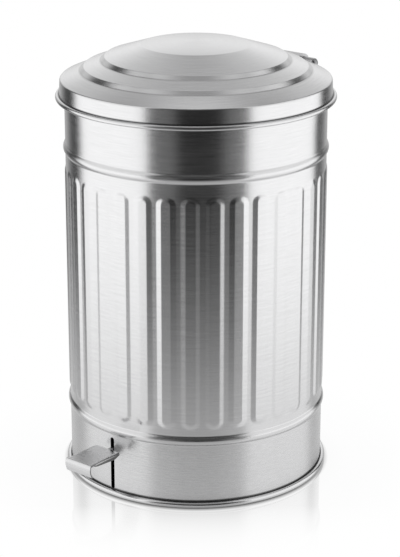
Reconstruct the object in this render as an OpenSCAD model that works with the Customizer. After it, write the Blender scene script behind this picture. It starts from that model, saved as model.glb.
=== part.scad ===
// Pedal bin: a fluted steel can on a rolled foot, with a stepped domed lid.
// The pedal lifts a rod at the back, and the rod turns a crank on the lid's hinge.
// Z is up, the floor is z = 0, and Z is the can's axis. The pedal points to -Y, the hinge to +Y.

/* [Body] */
// Radius of the body wall's outer face
body_r = 138; // [130:1:150]
// Thickness of the sheet of the body, the base plate and the lid
sheet = 0.8; // [0.6:0.1:1.2]
// Height of the body wall's top edge above the floor
body_top = 412.5; // [390:0.5:430]
// Radius of the hem that is rolled inward along the top edge
hem_r = 1.5; // [1.2:0.1:2]
// Height of the body wall's bottom edge above the floor
body_foot = 0.8; // [0.7:0.1:1.5]

/* [Beads] */
// Height of the two raised beads round the body
bead_h = 10.6; // [7:0.2:14]
// How far the beads stand out from the wall
bead_out = 2.2; // [1.2:0.1:3]
// Height of the lower bead's middle above the floor
lower_bead_z = 75; // [72:0.5:90]
// Depth of the upper bead's middle below the top edge
upper_bead_drop = 55; // [48:0.2:70]

/* [Ribs] */
// Number of upright ribs round the body
rib_count = 35; // [30:1:36]
// Turn of the rib pattern from the pedal, in degrees
rib_turn = 1.44; // [0:0.12:5.04]
// How far a rib's crest stands out from the wall
rib_out = 1.0; // [0.6:0.1:1.6]
// Width of a rib's flat crest
rib_crest_w = 9.7; // [7:0.1:10]
// Slope of a rib's flanks from the wall, in degrees
rib_slope = 15; // [14:1:24]
// Gap between the ribs' top ends and the upper bead
rib_gap_top = 13; // [8:0.5:20]
// Gap between the ribs' bottom ends and the lower bead
rib_gap_bottom = 7; // [5:0.2:12]

/* [Foot] */
// Radius of the roll of bright sheet round the foot
foot_roll_r = 3.05; // [2.5:0.05:4]
// How far the foot roll's middle lies outside the wall
foot_roll_out = 2.0; // [1.5:0.1:2.4]
// Width of the ring that stands on the floor
floor_ring_w = 6.2; // [5:0.2:10]
// Height of the base plate's upper face above the floor
base_z = 6.8; // [6.6:0.1:6.9]
// Radius of the stiffening ring pressed into the base plate
base_ring_r = 75; // [60:1:90]

/* [Pedal] */
// Height of the pedal plate's upper face above the floor, lid closed
pedal_z = 56; // [52:0.5:58]
// Width of the pedal plate
pedal_w = 34.7; // [28:0.1:44]
// Length of the pedal plate, back edge to front crease
pedal_len = 44; // [34:1:50]
// Gap between the wall and the pedal plate's back edge
pedal_gap = 8; // [6:0.5:14]
// Thickness of the pedal plate's sheet
pedal_t = 1.2; // [1:0.1:1.6]
// How far the front lip hangs down
lip_drop = 14.8; // [10:0.2:15]
// Radius of the curl under the lip
lip_curl_r = 3.2; // [2.6:0.1:4]
// How far the lip swells to the front
lip_swell = 1.6; // [0.8:0.1:2.5]
// Depth of the side flanges at the plate's back
pedal_flange = 3; // [2:0.1:5]
// Width of the slot in the wall
slot_w = 5; // [4.5:0.1:6]
// Height of the slot's bottom end above the floor
slot_z0 = 7.2; // [7:0.1:8]
// Height of the slot's top end above the floor
slot_z1 = 66; // [62:0.1:68]

/* [Lever] */
// Thickness of the lever and of the crank
lever_t = 3; // [2.5:0.1:3.4]
// Place of the lever's pivot along Y
pivot_y = -30; // [-40:1:-28]
// Height of the lever's pivot above the floor
pivot_z = 34.5; // [32:0.5:37]
// Radius of the lever's pivot pin
pivot_r = 3; // [2.5:0.1:3.5]
// Depth of the lever's front arm where it passes the slot
arm_h = 11.2; // [9:0.2:13]
// Radius of the push rod
rod_r = 2; // [1.8:0.1:2.2]
// Side of the pivot bracket's square base
pivot_base = 36; // [32:1:44]
// Radius of the screws that hold the pivot bracket
screw_r = 2; // [1.6:0.1:2.4]
// Gap between the push rod and the wall's inner face
rod_gap = 4.7; // [4.7:0.1:6]

/* [Lid] */
// Gap between the body wall and the inside of the lid's skirt
lid_gap = 4.9; // [4.5:0.1:6]
// How far the lid's rim reaches down past the body's top edge
lid_overlap = 3.9; // [3:0.1:4.4]
// Radius of the roll along the lid's rim
rim_r = 2.6; // [2:0.1:3]
// Height of the lid from the bottom of its rim to the edge of its top
skirt_h = 21.2; // [19:0.2:26]
// How much the skirt leans inward over its height
skirt_lean = 1.2; // [0.6:0.1:2]
// Width and rise of the outer slope of the lid's top
outer_slope = [20.8, 8.4]; // [6:0.1:30]
// Width and rise of the slope between the two steps
middle_slope = [17.5, 5.9]; // [4:0.1:30]
// Width and rise of the slope inside the inner step
inner_slope = [38.6, 12.2]; // [8:0.1:50]
// Width and rise of each step
step = [4.3, 4.2]; // [2:0.1:6]
// Rise of the shallow dome in the middle of the lid
dome_rise = 4.1; // [2:0.1:8]

/* [Hinge] */
// Distance of the hinge axis behind the body wall
hinge_reach = 16; // [16:0.5:20]
// Height of the hinge axis above the body's top edge
hinge_rise = 11; // [10:0.5:12]
// How far the lid opens, in degrees
lid_open = 75; // [60:1:78]
// Radius of the hinge pin
pin_r = 2.5; // [2:0.1:3]
// Half the width of the lid's hinge leaf
leaf_half = 26; // [20:1:30]
// Half the width over the two hinge barrels of the bracket
barrel_half = 40; // [36:1:44]
// Radius of the bracket's hinge barrels
barrel_r = 5.5; // [5:0.1:6]
// Half the width of the bracket below its barrels
bracket_half = 49; // [46:1:56]
// Thickness of the lid's hinge leaf
leaf_t = 1.5; // [1.2:0.1:2]
// Thickness of the hinge bracket
bracket_t = 2; // [1.5:0.1:2.4]
// Height of the bracket's saddle on the wall, below its shelf
saddle_h = 34; // [30:1:40]
// Radius of the rivets that hold the bracket
rivet_r = 2; // [1.6:0.1:2.4]
// Radius of the rivets that hold the leaf
leaf_rivet_r = 1.6; // [1.4:0.1:2]

/* [Bucket] */
// How far the bucket's wall lies inside the body wall's outer face, at its top
bucket_gap = 10; // [8.5:0.5:18]
// How much narrower the bucket is at its floor
bucket_taper = 12; // [6:1:20]
// Thickness of the bucket's wall
bucket_t = 1.6; // [1.2:0.1:2.4]
// Height of the bucket's underside above the floor
bucket_z = 62; // [60:1:80]
// Thickness of the flange that hangs on the body's top edge
flange_t = 2; // [1.5:0.1:2.4]
// How far the bail's ring lies inside the bucket's rim
bail_inset = 12; // [10:0.5:16]
// Radius of the bail's wire
bail_r = 2; // [1.6:0.1:2.2]
// Radius of the bail's grip
grip_r = 4.2; // [3.6:0.1:4.6]

/* [Fits] */
// Radial clearance of a pin that turns in its hole
running = 0.08; // [0.04:0.01:0.1]
// Gap between pieces that are seated on each other
seat = 0.1; // [0.05:0.05:0.2]
// Gap between pieces that move past each other
clear = 0.5; // [0.4:0.1:0.8]

/* [Hidden] */
$fn = 96;
far = 600;
drill = 20;
steel = "silver";
bright = "gainsboro";
dark_steel = "slategray";
black = "dimgray";

// Beads and ribs
bead_z = [lower_bead_z, body_top - upper_bead_drop];
bead_arc = (pow(bead_h / 2, 2) + bead_out * bead_out) / (2 * bead_out);
rib_half = rib_crest_w / 2;
rib_crest_r = body_r + rib_out;
rib_foot = rib_half + (rib_out + 0.31) / tan(rib_slope);
rib_low = lower_bead_z + bead_h / 2 + rib_gap_bottom + rib_foot;
rib_high = bead_z[1] - bead_h / 2 - rib_gap_top - rib_foot;

// Lid
rim_z = body_top - lid_overlap + rim_r;
skirt_r = body_r + lid_gap + sheet;
skirt_top = [skirt_r - skirt_lean, rim_z - rim_r + skirt_h];
rim_centre_r = skirt_r + 1.2;
step_foot = skirt_top + [-outer_slope[0], outer_slope[1]];
step_head = step_foot + [-step[0], step[1]];
inner_foot = step_head + [-middle_slope[0], middle_slope[1]];
inner_head = inner_foot + [-step[0], step[1]];
disc_edge = inner_head + [-inner_slope[0], inner_slope[1]];
ramp_angle = atan(outer_slope[1] / outer_slope[0]);

// Hinge, crank and rod
hinge_y = body_r + hinge_reach;
hinge_z = body_top + hinge_rise;
wall_in = body_r - sheet;
rod_y = wall_in - rod_gap - rod_r;
rod_bend = rod_r + clear;
rod_x = lever_t / 2 + rod_bend;
crank_reach = hinge_y - rod_y;
crank_tilt = lid_open / 2;
crank_len = crank_reach / cos(crank_tilt);
// The rod rises evenly with the lid's angle and the crank's slot doesn't, so the slot has play
lag_angle = acos(sqrt(crank_tilt * PI / 180 / tan(crank_tilt)));
crank_lag = crank_reach * cos(lag_angle) * (tan(crank_tilt) * lag_angle / crank_tilt - tan(lag_angle));
crank_slot_r = rod_r + crank_lag + 0.2;
crank_end_r = crank_slot_r + 1.1 * rod_r;
rod_travel = 2 * crank_reach * tan(crank_tilt);
rod_top_z = hinge_z - rod_travel / 2;
rod_low_z = pivot_z - rod_travel / 2;
hood_r = barrel_r + 2 * leaf_t;
hood_top = hinge_z + hood_r;
notch_half = rod_x + rod_r + 2 * clear;
notch_z = rod_top_z - crank_end_r - clear;
slit_half = lever_t / 2 + 1.6 * clear;
pin_hole_r = pin_r + running;
leaf_gap = 0.6;
pad_r = step_foot[0] + sheet;
hood_lap = 8;
rivet_angle = 17;
gusset_x = (leaf_half + barrel_half) / 2;
upright_y = hinge_y - barrel_r;
window_z = hinge_z - (hinge_y - upright_y) * tan(crank_tilt) - crank_end_r / cos(crank_tilt) - 1;
shelf_z = body_top - lid_overlap - bracket_t - 2.2 * rim_r;

// Lever and pedal
lever_eye_r = 2.2 * rod_r;
rod_hole_r = rod_r + 0.3;
washer_t = rod_r / 2;
lever_reach = rod_y - pivot_y;
lever_rise = atan(rod_travel / 2 / lever_reach);
eye_play = lever_reach * (1 / cos(lever_rise) - 1);
lever_hub_r = 3 * pivot_r;
bush_r = 5 / 3 * pivot_r;
ear_in = 5 / 3 * lever_t;
ear_t = lever_t / 2;
ear_r = 7 / 3 * pivot_r;
pedal_back = -(body_r + pedal_gap);
pedal_front = pedal_back - pedal_len;
arm_top = pedal_z - pedal_t;

// Bucket
bucket_r = body_r - bucket_gap;
flange_z = body_top + seat;
flange_top = flange_z + flange_t;
flange_r = body_r - hem_r;
rest_z = flange_top + 2 * seat;
rest_top = skirt_top[1] - skirt_h / 3;
bail_z = flange_top + clear + grip_r;
bail_ring_r = bucket_r - bail_inset;
lug_t = 4 * bail_r;
lug_r = bucket_r - (bucket_t + lug_t) / 2;
bucket_back = hinge_y - crank_len - crank_end_r - 5 * clear;

// Outlines of bent sheet
function unit(v) = v / norm(v);
function right_of(a, b) = let (d = unit(b - a)) [d[1], -d[0]];
function mitred(path, i, t) =
    i == 0 ? path[0] + t * right_of(path[0], path[1])
    : i == len(path) - 1 ? path[i] + t * right_of(path[i - 1], path[i])
    : let (m = right_of(path[i - 1], path[i]), n = right_of(path[i], path[i + 1]))
      path[i] + t * (m + n) / (1 + m * n);

// Closed outline of a sheet of thickness t on the right-hand side of an open path
function bent_sheet(path, t) =
    concat([for (i = [0:len(path) - 1]) mitred(path, i, t)], [for (i = [len(path) - 1:-1:0]) path[i]]);

// Points of an arc about c, from one angle to another
function arc(c, r, from, to, n = 5) =
    [for (i = [0:n]) let (a = from + (to - from) * i / n) c + r * [cos(a), sin(a)]];

// Points of a bend of radius r at corner p, between the straights that come from a and go to b
function bend(a, p, b, r, n = 4) =
    let (u = unit(a - p), v = unit(b - p), half = acos(u * v) / 2,
         c = p + unit(u + v) * r / sin(half),
         s = p + u * r / tan(half) - c, e = p + v * r / tan(half) - c,
         from = atan2(s[1], s[0]), turn = (atan2(e[1], e[0]) - from + 540) % 360 - 180)
    arc(c, r, from, from + turn, n);

// Height of the lid's outer slope at a radius
function ramp_z(r) = skirt_top[1] + (skirt_top[0] - r) * tan(ramp_angle);

// Outline with no point behind the axis, for a revolve
function off_axis(points) = [for (p = points) [max(p[0], 0), p[1]]];

// A plate in the YZ plane, t thick, centred on x
module side_plate(x, t) translate([x, 0, 0])
    rotate([90, 0, 90])
        linear_extrude(t, center = true)
            children();

module flat_ring(outer, inner, h)
    difference() {
        cylinder(h = h, r = outer);
        translate([0, 0, -1])
            cylinder(h = h + 2, r = inner);
    }

// A rivet with a domed head outside and a flat head inside, its grip from z = -grip to 0
module rivet(r, grip) rotate_extrude($fn = 48)
    difference() {
        union() {
            translate([0, -grip - r * 0.45])
                square([r * 1.7, r * 0.45]);
            translate([0, -grip - r * 0.25])
                square([r, grip + r * 0.5]);
            intersection() {
                translate([0, r * 0.9 - r * 2.34])
                    circle(r * 2.34);
                square([r * 2.2, r * 2]);
            }
        }
        translate([-far, -far])
            square([far, 2 * far]);
    }

// One rib: a flat crest with sloping flanks that run round both ends
module rib(r_in, r_out, half_in, half_out) {
    for (z = [rib_low, rib_high])
        translate([r_in, 0, z])
            rotate([0, 90, 0])
                cylinder(h = r_out - r_in, r1 = half_in, r2 = half_out);
    translate([0, 0, rib_low])
        linear_extrude(rib_high - rib_low)
            polygon([[r_in, -half_in], [r_out, -half_out], [r_out, half_out], [r_in, half_in]]);
}

module each_rib()
    for (i = [0:rib_count - 1])
        rotate(-90 + rib_turn + (i + 0.5) * 360 / rib_count)
            children();

// Wall, beads and hem, cut through the axis
module body_profile() {
    difference() {
        intersection() {
            union() {
                translate([wall_in, body_foot])
                    square([sheet, body_top - hem_r - body_foot]);
                for (z = bead_z)
                    translate([body_r + bead_out - bead_arc, z])
                        circle(bead_arc);
            }
            translate([wall_in, 0])
                square([sheet + bead_out + 1, body_top]);
        }
        for (z = bead_z)
            translate([body_r + bead_out - bead_arc, z])
                circle(bead_arc - sheet);
    }
    translate([body_r - hem_r, body_top - hem_r])
        circle(hem_r);
}

module pedal_slot()
    for (z = [slot_z0 + slot_w / 2, slot_z1 - slot_w / 2]) {
        translate([0, -body_r + 5, z])
            rotate([90, 0, 0])
                cylinder(h = 10, r = slot_w / 2);
        translate([-slot_w / 2, -body_r - 5, slot_z0 + slot_w / 2])
            cube([slot_w, 10, slot_z1 - slot_z0 - slot_w]);
    }

// Places of the four rivets that hold the hinge bracket, pointing out of the wall
module at_hinge_rivets()
    for (a = [90 - rivet_angle, 90 + rivet_angle], drop = [0.3, 0.76] * saddle_h)
        rotate(a)
            translate([body_r, 0, shelf_z - drop])
                rotate([0, 90, 0])
                    children();

module body_shell() color(steel)
    difference() {
        union() {
            rotate_extrude()
                body_profile();
            each_rib()
                rib(rib_crest_r - 1.7, rib_crest_r, rib_half + 1.7 / tan(rib_slope), rib_half);
        }
        each_rib()
            rib(rib_crest_r - sheet - 1.7, rib_crest_r - sheet,
                rib_half - sheet * tan(rib_slope / 2) + 1.7 / tan(rib_slope),
                rib_half - sheet * tan(rib_slope / 2));
        pedal_slot();
        translate([-notch_half, body_r - 10, notch_z])
            cube([2 * notch_half, 20, far]);
        at_hinge_rivets()
            cylinder(h = drill, r = rivet_r + seat, center = true);
    }

// Bright roll round the foot, open where the wall stands in it
module foot_trim() color(bright)
    rotate_extrude()
        translate([body_r + foot_roll_out, body_foot + foot_roll_r - 0.2])
            difference() {
                circle(foot_roll_r);
                circle(foot_roll_r - sheet);
                translate([-far - foot_roll_out + seat / 2, -far])
                    square([far, 2 * far]);
            }

// Black ring that stands on the floor, with a thin lip under the wall
module floor_ring() color(black)
    rotate_extrude()
        polygon([[wall_in - sheet - seat * 2 - floor_ring_w, 0], [body_r + 1.2, 0],
                 [body_r + 1.2, body_foot - 0.25], [wall_in - sheet - seat * 2, body_foot - 0.25],
                 [wall_in - sheet - seat * 2, base_z - sheet - 1],
                 [wall_in - sheet - seat * 2 - 1, base_z - sheet - seat],
                 [wall_in - sheet - seat * 2 - floor_ring_w, base_z - sheet - seat]]);

// Base plate: flat, with a pressed ring and an edge turned down inside the wall
module base_plate() color(steel)
    rotate_extrude()
        polygon(off_axis(bent_sheet(
            concat([[0, base_z], [base_ring_r - 9, base_z], [base_ring_r - 6, base_z + 2],
                    [base_ring_r + 6, base_z + 2], [base_ring_r + 9, base_z]],
                   arc([wall_in - seat - 1.5, base_z - 1.5], 1.5, 90, 0),
                   [[wall_in - seat, body_foot + 0.4]]), sheet)));

module at_bracket_screws()
    for (x = [-0.35, 0.35] * pivot_base, y = [-0.35, 0.35] * pivot_base)
        translate([x, pivot_y + y, base_z])
            children();

// Bracket on the base plate: two ears that carry the lever's pivot pin
module pivot_bracket() color(dark_steel)
    difference() {
        union() {
            translate([-pivot_base / 2, pivot_y - pivot_base / 2, base_z])
                cube([pivot_base, pivot_base, ear_t]);
            for (s = [-1, 1])
                side_plate(s * (ear_in + ear_t / 2), ear_t) {
                    translate([pivot_y, pivot_z])
                        circle(ear_r);
                    polygon([[pivot_y - 0.44 * pivot_base, base_z + ear_t / 2],
                             [pivot_y + 0.44 * pivot_base, base_z + ear_t / 2],
                             [pivot_y + ear_r, pivot_z], [pivot_y - ear_r, pivot_z]]);
                }
        }
        translate([0, pivot_y, pivot_z])
            rotate([0, 90, 0])
                cylinder(h = pivot_base, r = pivot_r + seat / 2, center = true);
        at_bracket_screws()
            cylinder(h = drill, r = screw_r + seat, center = true);
    }

// Four pan-head screws with their ends in the base plate
module bracket_screws() color(bright)
    at_bracket_screws() {
        translate([0, 0, ear_t])
            cylinder(h = 1.1 * screw_r, r = 1.9 * screw_r);
        cylinder(h = ear_t + screw_r / 2, r = screw_r);
    }

module pivot_pin() color(bright)
    translate([-ear_in - ear_t, pivot_y, pivot_z])
        rotate([0, 90, 0]) {
            translate([0, 0, -2 / 3 * pivot_r])
                cylinder(h = 2 / 3 * pivot_r, r = 5 / 3 * pivot_r);
            cylinder(h = 2 * (ear_in + ear_t) + 0.8 * pivot_r, r = pivot_r);
        }

module pivot_clip() color(dark_steel)
    translate([ear_in + ear_t + seat, pivot_y, pivot_z])
        rotate([0, 90, 0])
            flat_ring(1.9 * pivot_r, pivot_r + seat / 2, pivot_r / 3);

// Two guides welded inside the wall, each with a tab that the rod slides through
module rod_guides() color(dark_steel)
    for (z = [bead_z[0] - 1.1 * bead_h, bead_z[1] + 1.4 * bead_h])
        difference() {
            union() {
                rotate(90)
                    rotate_extrude(angle = 6.6)
                        translate([wall_in - seat - 0.55 * rod_r, z - 1.5 * rod_r])
                            square([0.55 * rod_r, 4 * rod_r]);
                intersection() {
                    translate([-8 * rod_r, rod_y - 2.5 * rod_r, z])
                        cube([rod_x + 10.2 * rod_r, far, 0.8 * rod_r]);
                    cylinder(h = far, r = wall_in - seat);
                }
            }
            translate([rod_x, rod_y, z])
                cylinder(h = drill, r = rod_hole_r, center = true);
        }

// Hinge bracket: a saddle on the wall, a shelf under the lid's rim, an upright and two barrels
module hinge_bracket() color(dark_steel)
    difference() {
        union() {
            intersection() {
                rotate_extrude()
                    translate([body_r + seat, shelf_z - saddle_h])
                        square([bracket_t, saddle_h + bracket_t]);
                translate([-bracket_half, 0, 0])
                    cube([2 * bracket_half, far, far]);
            }
            difference() {
                translate([-bracket_half, 0, shelf_z])
                    cube([2 * bracket_half, upright_y + bracket_t, bracket_t]);
                cylinder(h = far, r = body_r + seat + bracket_t / 4);
            }
            translate([0, upright_y + bracket_t, 0])
                rotate([90, 0, 0])
                    linear_extrude(bracket_t)
                        polygon([[-bracket_half, shelf_z], [bracket_half, shelf_z],
                                 [bracket_half, hinge_z - 2.2 * barrel_r],
                                 [barrel_half, hinge_z - 1.1 * barrel_r],
                                 [barrel_half, hinge_z], [-barrel_half, hinge_z],
                                 [-barrel_half, hinge_z - 1.1 * barrel_r],
                                 [-bracket_half, hinge_z - 2.2 * barrel_r]]);
            translate([-barrel_half, hinge_y, hinge_z])
                rotate([0, 90, 0])
                    cylinder(h = 2 * barrel_half, r = barrel_r);
            for (x = [-gusset_x, gusset_x])
                side_plate(x, bracket_t)
                    polygon([[body_r - bracket_t, shelf_z - 0.6 * saddle_h],
                             [upright_y + bracket_t / 2, shelf_z + bracket_t / 4],
                             [body_r - bracket_t, shelf_z + bracket_t / 4]]);
        }
        cylinder(h = shelf_z, r = body_r + seat);
        translate([-leaf_half - leaf_gap, upright_y - 2 * bracket_t, window_z])
            cube([2 * (leaf_half + leaf_gap), far, far]);
        translate([0, hinge_y, hinge_z])
            rotate([0, 90, 0])
                cylinder(h = far, r = pin_r + seat / 2, center = true);
        at_hinge_rivets()
            cylinder(h = drill, r = rivet_r + seat, center = true);
    }

module hinge_rivets() color(bright)
    at_hinge_rivets()
        translate([0, 0, bracket_t + 1.5 * seat])
            rivet(rivet_r, sheet + bracket_t + 2 * seat);

module hinge_pin() color(bright)
    translate([0, hinge_y, hinge_z])
        rotate([0, 90, 0])
            cylinder(h = 2 * barrel_half + 1.2 * pin_r, r = pin_r, center = true);

// Domed caps pressed on the ends of the hinge pin
module hinge_pin_caps() color(bright)
    for (s = [-1, 1])
        translate([s * (barrel_half + seat), hinge_y, hinge_z])
            rotate([0, s * 90, 0])
                difference() {
                    intersection() {
                        translate([0, 0, -0.47 * barrel_r])
                            sphere(r = 1.05 * barrel_r);
                        cylinder(h = 2 * barrel_r, r = 0.9 * barrel_r);
                    }
                    translate([0, 0, -pin_r])
                        cylinder(h = 1.65 * pin_r, r = pin_r + seat / 2);
                }

// Slope of the lid at the back, as a frame whose Z is square to the sheet
module on_ramp(turn, r)
    rotate(90 + turn)
        translate([r, 0, ramp_z(r)])
            rotate([0, ramp_angle, 0])
                children();

module at_leaf_rivets()
    for (turn = [-7.2, 0, 7.2])
        on_ramp(turn, skirt_top[0] - 1.5 * hood_lap)
            children();

// A point of the dome near its edge, where the bend to the slope starts
dome_foot = [disc_edge[0] * 0.8, disc_edge[1] + dome_rise * 0.36];

// The lid's outer face, from the middle of the top to the rim
lid_path = concat(
    [for (i = [0:8]) [disc_edge[0] * i / 10, disc_edge[1] + dome_rise * (1 - pow(i / 10, 2))]],
    bend(dome_foot, disc_edge, inner_head, 6, 3),
    bend(disc_edge, inner_head, inner_foot, 1),
    bend(inner_head, inner_foot, step_head, 1.8),
    bend(inner_foot, step_head, step_foot, 1),
    bend(step_head, step_foot, skirt_top, 1.8),
    bend(step_foot, skirt_top, [skirt_r, rim_z], 2),
    [[skirt_r, rim_z]]);

module lid_profile()
    difference() {
        union() {
            polygon(off_axis(bent_sheet(lid_path, sheet)));
            translate([rim_centre_r, rim_z])
                circle(rim_r);
        }
        translate([rim_centre_r, rim_z])
            circle(rim_r - sheet);
    }

module lid_shell() color(steel)
    difference() {
        rotate_extrude($fn = 144)
            lid_profile();
        translate([-slit_half, body_r, 0])
            cube([2 * slit_half, far, hinge_z + pin_r]);
        at_leaf_rivets()
            cylinder(h = drill, r = leaf_rivet_r + seat, center = true);
    }

// Everything below the lid's outer face, to cut what sits on it
module under_lid()
    rotate_extrude($fn = 144)
        polygon(concat([[0, 0]], lid_path, [[skirt_r, 0]]));

// Hinge leaf: a pad on the lid's slope, a hood over the pin and a cheek at each side
module lid_hinge_leaf() color(steel)
    difference() {
        union() {
            intersection() {
                rotate_extrude($fn = 144)
                    polygon([[pad_r, ramp_z(pad_r) - 3 * sheet],
                             [skirt_top[0] - 1, skirt_top[1] - 3 * sheet],
                             [skirt_top[0] - 1, ramp_z(skirt_top[0] - 1) + leaf_t / cos(ramp_angle)],
                             [pad_r, ramp_z(pad_r) + leaf_t / cos(ramp_angle)]]);
                translate([-leaf_half, 0, 0])
                    cube([2 * leaf_half, far, far]);
            }
            side_plate(0, 2 * leaf_half)
                polygon(bent_sheet(concat(
                    [[skirt_top[0] - hood_lap, ramp_z(skirt_top[0] - hood_lap) + leaf_t / 5],
                     [skirt_top[0] + 1, hood_top]],
                    arc([hinge_y, hinge_z], hood_r, 90, 0, 8)), leaf_t));
            for (s = [-1, 1])
                side_plate(s * (leaf_half - leaf_t / 2), leaf_t)
                    difference() {
                        union() {
                            translate([hinge_y, hinge_z])
                                circle(hood_r);
                            polygon([[hinge_y - barrel_r, hinge_z], [hinge_y, hinge_z],
                                     [hinge_y, hood_top - leaf_t / 3],
                                     [hinge_y - barrel_r, hood_top - leaf_t / 3]]);
                        }
                        translate([hinge_y, hinge_z])
                            circle(pin_hole_r);
                    }
        }
        under_lid();
        at_leaf_rivets()
            cylinder(h = drill, r = leaf_rivet_r + seat, center = true);
    }

module leaf_rivets() color(bright)
    at_leaf_rivets()
        translate([0, 0, leaf_t + seat])
            rivet(leaf_rivet_r, sheet + leaf_t + 2 * seat);

// Crank under the hinge leaf: it turns with the lid, and the rod's end lies in its slot
module lid_crank() color(dark_steel)
    side_plate(0, lever_t)
        difference() {
            union() {
                translate([hinge_y, hinge_z])
                    circle(hood_r - leaf_t - leaf_gap);
                polygon([[hinge_y - barrel_r, hinge_z], [hinge_y + 0.7 * barrel_r, hinge_z],
                         [hinge_y + 0.7 * barrel_r, hinge_z + 0.9 * barrel_r],
                         [hinge_y, hood_top - leaf_t], [hinge_y - barrel_r, hood_top - leaf_t]]);
                translate([hinge_y, hinge_z])
                    rotate(180 + crank_tilt) {
                        translate([0, -crank_end_r])
                            square([crank_len, 2 * crank_end_r]);
                        translate([crank_len, 0])
                            circle(crank_end_r);
                    }
            }
            translate([hinge_y, hinge_z])
                circle(pin_hole_r);
            translate([hinge_y, hinge_z])
                rotate(180 + crank_tilt) {
                    translate([crank_reach, -crank_slot_r])
                        square([crank_len - crank_reach, 2 * crank_slot_r]);
                    translate([crank_len, 0])
                        circle(crank_slot_r);
                    translate([crank_reach, 0])
                        circle(crank_slot_r);
                }
        }

// Radius of the skirt's inner face at a height
function skirt_inside(z) =
    skirt_r - sheet * 1.01 - skirt_lean * (z - rim_z) / (skirt_top[1] - rim_z);

// Rubber rests inside the lid's skirt, which come down on the bucket's flange
module lid_rests() color(black)
    for (a = [-90, 30, 150])
        rotate(a - 2.5)
            rotate_extrude(angle = 5)
                polygon([[flange_r - 3 * flange_t, rest_z],
                         [skirt_inside(rest_z) - seat, rest_z], [skirt_inside(rest_top) - seat, rest_top],
                         [flange_r - flange_t, rest_top],
                         [flange_r - 3 * flange_t, flange_top + 1.5 * flange_t]]);

// Lever: one flat bar from under the pedal, through the slot and over the pivot, to the rod
module pedal_lever() color(dark_steel)
    side_plate(0, lever_t)
        difference() {
            union() {
                polygon([[pedal_front + 0.11 * pedal_len, arm_top],
                         [pedal_front + 0.11 * pedal_len, arm_top - 0.45 * arm_h],
                         [pedal_front + 0.32 * pedal_len, arm_top - arm_h],
                         [-body_r + arm_h, arm_top - arm_h], [pivot_y, pivot_z - 0.9 * lever_hub_r],
                         [rod_y, rod_low_z - lever_eye_r], [rod_y, rod_low_z + lever_eye_r],
                         [pivot_y, pivot_z + 0.9 * lever_hub_r], [-body_r + arm_h, arm_top]]);
                translate([pivot_y, pivot_z])
                    circle(lever_hub_r);
                translate([rod_y, rod_low_z])
                    circle(lever_eye_r);
            }
            translate([pivot_y, pivot_z])
                circle(bush_r + seat / 2);
            for (play = [0, eye_play])
                translate([rod_y - play, rod_low_z])
                    circle(rod_hole_r);
            translate([rod_y - eye_play, rod_low_z - rod_hole_r])
                square([eye_play, 2 * rod_hole_r]);
        }

// Pedal plate: flat, with a swelling front lip that curls back under, and two side flanges
module pedal_plate() color(steel) {
    lip_foot = pedal_z - lip_drop + lip_curl_r;
    chord = (pedal_z - lip_foot) / 2;
    swell_r = (chord * chord + lip_swell * lip_swell) / (2 * lip_swell);
    swell_half = asin(chord / swell_r);
    side_plate(0, pedal_w)
        polygon(bent_sheet(concat(
            arc([pedal_front + lip_curl_r, lip_foot], lip_curl_r, 300, 190, 6),
            arc([pedal_front + swell_r - lip_swell, lip_foot + chord], swell_r,
                180 + swell_half - 4, 180 - swell_half, 6),
            [[pedal_back, pedal_z]]), pedal_t));
    for (s = [-1, 1])
        side_plate(s * (pedal_w / 2 - pedal_t / 2), pedal_t)
            polygon([[pedal_back, arm_top + pedal_t / 4], [pedal_back, arm_top - pedal_flange],
                     [pedal_front + 5 * pedal_t, arm_top - pedal_t / 2],
                     [pedal_front + 5 * pedal_t, arm_top + pedal_t / 4]]);
}

module lever_bush() color(black)
    translate([-ear_in + clear / 2, pivot_y, pivot_z])
        rotate([0, 90, 0])
            flat_ring(bush_r, pivot_r + running, 2 * ear_in - clear);

// Push rod: a straight wire, bent over at both ends
module push_rod() color(bright)
    for (end = [[rod_low_z, 0], [rod_top_z, 180]])
        translate([0, rod_y, end[0]])
            rotate([end[1], 0, 0]) {
                translate([-lever_t / 2 - 1.6 * rod_r, 0, 0])
                    rotate([0, 90, 0])
                        cylinder(h = lever_t + 1.6 * rod_r, r = rod_r);
                translate([lever_t / 2, 0, rod_bend])
                    rotate([90, 0, 0])
                        rotate(-90)
                            rotate_extrude(angle = 90)
                                translate([rod_bend, 0])
                                    circle(rod_r, $fn = 32);
                translate([rod_x, 0, rod_bend])
                    cylinder(h = (rod_top_z - rod_low_z) / 2 - rod_bend + 1, r = rod_r);
            }

module rod_washers() color(dark_steel)
    for (z = [rod_low_z, rod_top_z])
        translate([-lever_t / 2 - clear - washer_t, rod_y, z])
            rotate([0, 90, 0])
                flat_ring(2.5 * rod_r, rod_r + seat / 2, washer_t);

// The bucket's room: everything inside a cone and in front of its flat back, less a thickness
module bucket_room(low, t)
    intersection() {
        translate([0, 0, low])
            cylinder(h = flange_top - bucket_z, r1 = bucket_r - bucket_taper - t, r2 = bucket_r - t);
        translate([-far, bucket_back - t - 2 * far, 0])
            cube([2 * far, 2 * far, far]);
    }

// Bucket: a tapered tub with a flat back for the rod, hung by its flange, with two bail lugs
module inner_bucket() color(black)
    difference() {
        union() {
            difference() {
                union() {
                    bucket_room(bucket_z, 0);
                    translate([0, 0, flange_z])
                        cylinder(h = flange_t, r = flange_r);
                }
                bucket_room(bucket_z + bucket_t, bucket_t);
            }
            for (s = [-1, 1])
                translate([s * lug_r - lug_t / 2, -3 * bail_r, flange_z - 3 * bail_r])
                    cube([lug_t, 6 * bail_r, bail_z - flange_z + 5 * bail_r]);
        }
        translate([-notch_half - 4 * clear, bucket_back, bucket_z])
            cube([2 * notch_half + 8 * clear, far, far]);
        translate([0, 0, bail_z])
            rotate([0, 90, 0])
                cylinder(h = far, r = bail_r + running, center = true);
    }

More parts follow.
